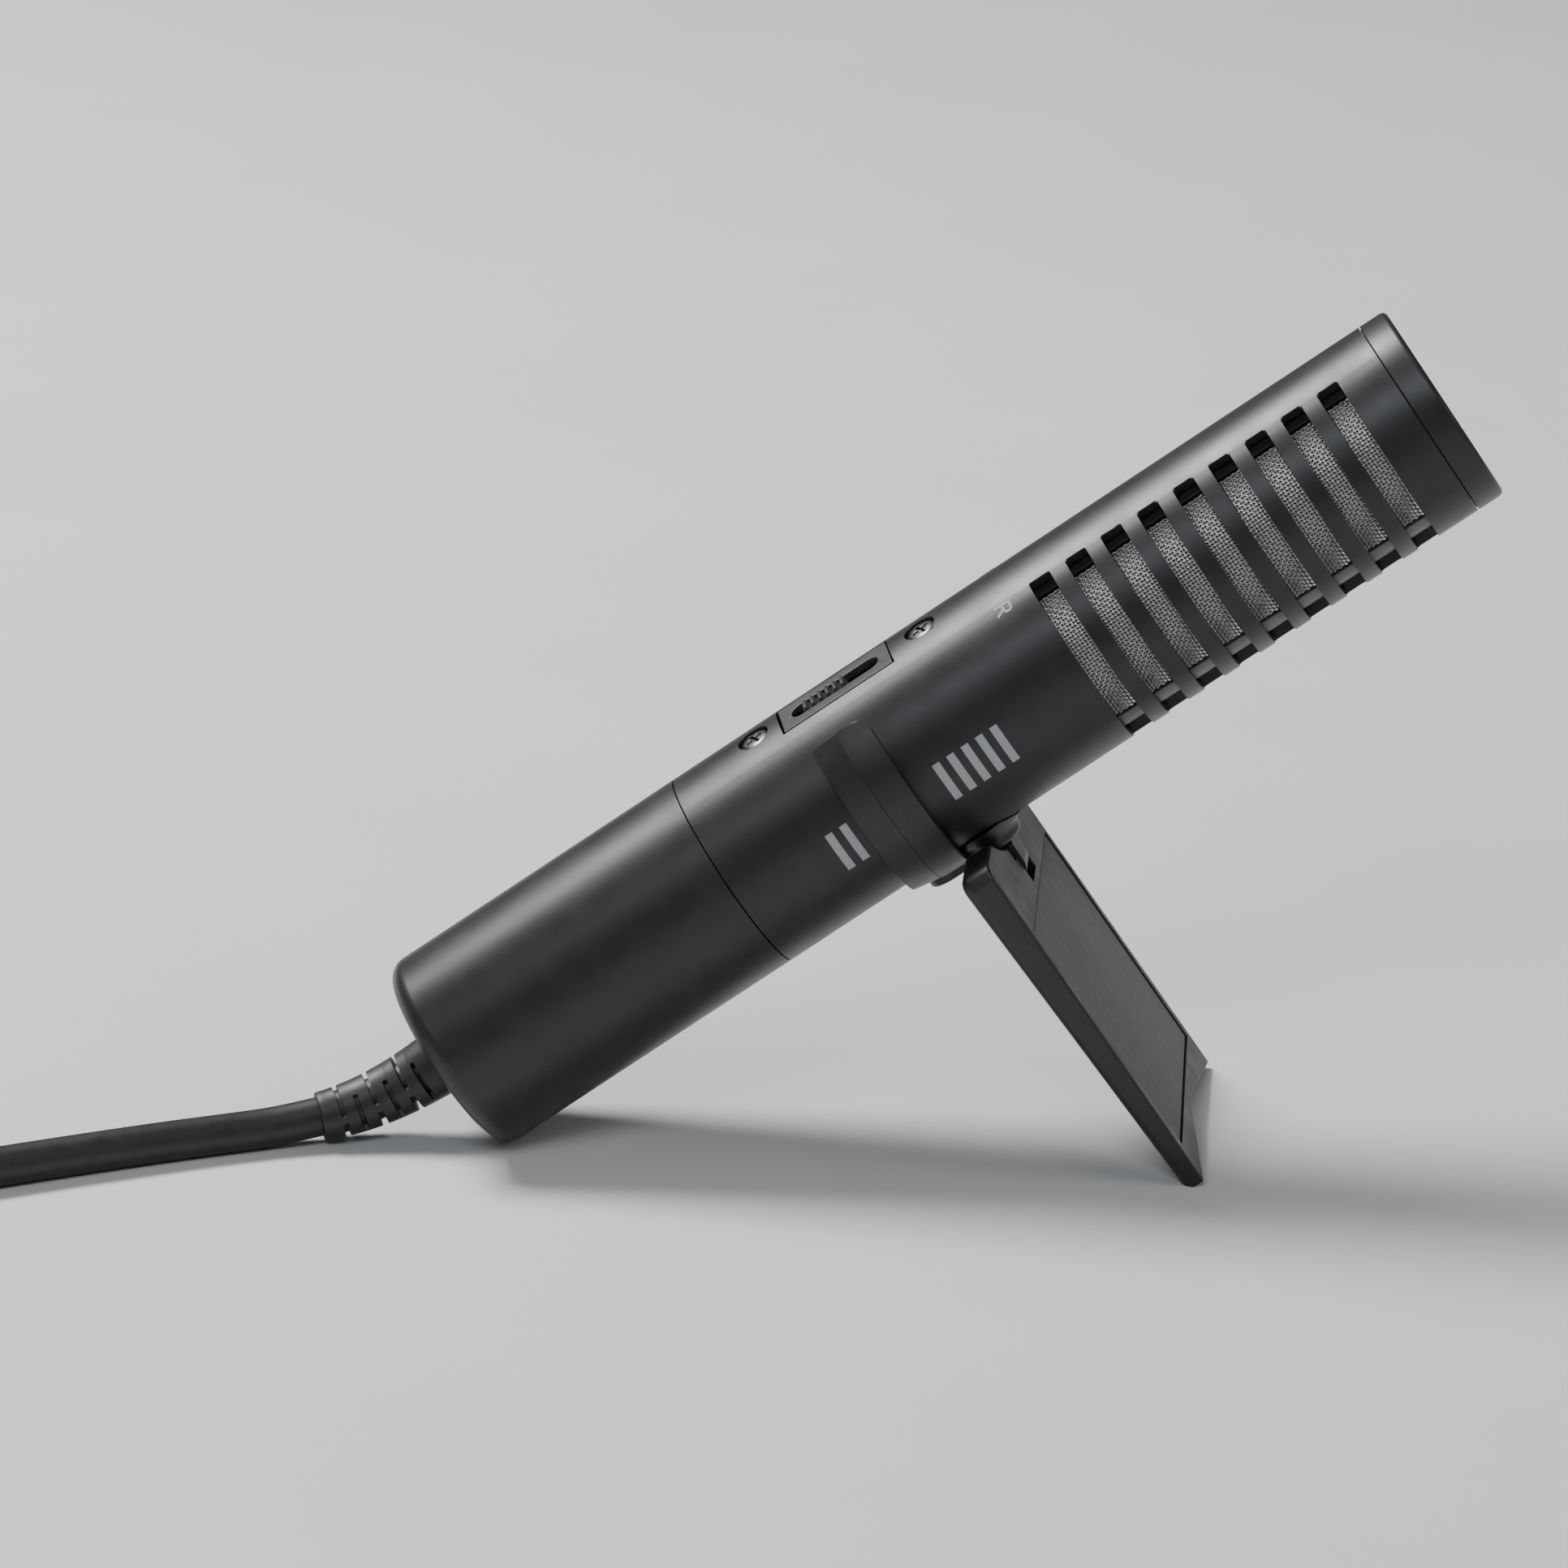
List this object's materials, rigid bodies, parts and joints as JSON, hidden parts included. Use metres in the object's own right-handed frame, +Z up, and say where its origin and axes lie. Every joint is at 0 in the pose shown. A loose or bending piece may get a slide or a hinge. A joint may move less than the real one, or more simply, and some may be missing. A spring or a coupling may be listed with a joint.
{
  "type": "stereo microphone on a table clip",
  "caption": "Slim battery-powered stereo microphone: slotted tube over woven mesh, slide switch, captive cord with plug, and a ring clip with a swivelling, folding table leg.",
  "frame": {"origin": "middle of the bottom of the bounding box, on the table, the free cord left out", "axes": "+X from the cord end to the sound end, along the table; +Y to the microphone's left; +Z up. The tube rises 33.6 degrees towards +X in the XZ plane"},
  "size_m": [0.3591, 0.0581, 0.1233],
  "materials": {
    "anodised_black": "satin, anodised charcoal black",
    "black_plastic": "satin moulded",
    "switch_plastic": "satin dark grey",
    "woven_wire": "fine woven wire, bright",
    "screw_steel": "dark plated",
    "spring_steel": "bright",
    "foam": "open-cell foam",
    "rubber": "matte",
    "panel_brown": "matte, fine grain, warm grey-brown",
    "board_green": "solder mask",
    "cell_label": "printed label on a metal can",
    "gold": "polished gold plating"
  },
  "bodies": {
    "microphone": {"barrel": "anodised_black", "front_cap": "anodised_black", "front_mesh": "woven_wire", "mesh_right": "woven_wire", "mesh_left": "woven_wire", "inner_frame": "black_plastic", "foam_liner": "foam", "switch_plate": "switch_plastic", "switch_body": "black_plastic", "screw_rear": "screw_steel", "screw_front": "screw_steel", "capsule_carrier": "rubber", "capsule_right": "spring_steel", "capsule_left": "spring_steel", "chassis": "black_plastic", "main_board": "board_green", "amplifier_chip": "black_plastic", "capacitor": "spring_steel", "battery_tray": "black_plastic", "battery_1": "cell_label", "battery_2": "cell_label", "contact_spring_1": "spring_steel", "contact_spring_2": "spring_steel", "strain_relief": "rubber", "cord_lead": "rubber", "cord_hank": "rubber", "cord_tail": "rubber", "plug_body": "black_plastic", "plug_pin": "gold"},
    "sleeve": {"battery_sleeve": "anodised_black"},
    "knob": {"switch_knob": "switch_plastic"},
    "clip": {"clip_ring": "black_plastic"},
    "swivel": {"swivel_rivet": "spring_steel", "swivel_head": "black_plastic", "hinge_pin": "spring_steel"},
    "leg": {"leg": "black_plastic", "leg_panel": "panel_brown"}
  },
  "joints": [
    {"name": "battery_sleeve_turn", "type": "hinge", "parent": "microphone", "child": "sleeve", "pos_m": [-0.06816, 0.00449, 0.01218], "axis": [0.8334, 0, 0.5527], "range_deg": [0, 30]},
    {"name": "switch_slide", "type": "slide", "parent": "microphone", "child": "knob", "axis": [0.8334, 0, 0.5527], "range_m": [0, 0.005]},
    {"name": "clip_turn", "type": "hinge", "parent": "microphone", "child": "clip", "pos_m": [0.00351, 0.00449, 0.05971], "axis": [0.8334, 0, 0.5527], "range_deg": [-45, 45]},
    {"name": "leg_swivel", "type": "hinge", "parent": "clip", "child": "swivel", "pos_m": [0.00351, 0.00449, 0.05971], "axis": [-0.5504, 0.0908, 0.83], "range_deg": [-8.2, 23.8]},
    {"name": "leg_fold", "type": "hinge", "parent": "swivel", "child": "leg", "pos_m": [0.01578, 0.00247, 0.0412], "axis": [0.1628, 0.9867, 0], "range_deg": [0, 92]}
  ]
}
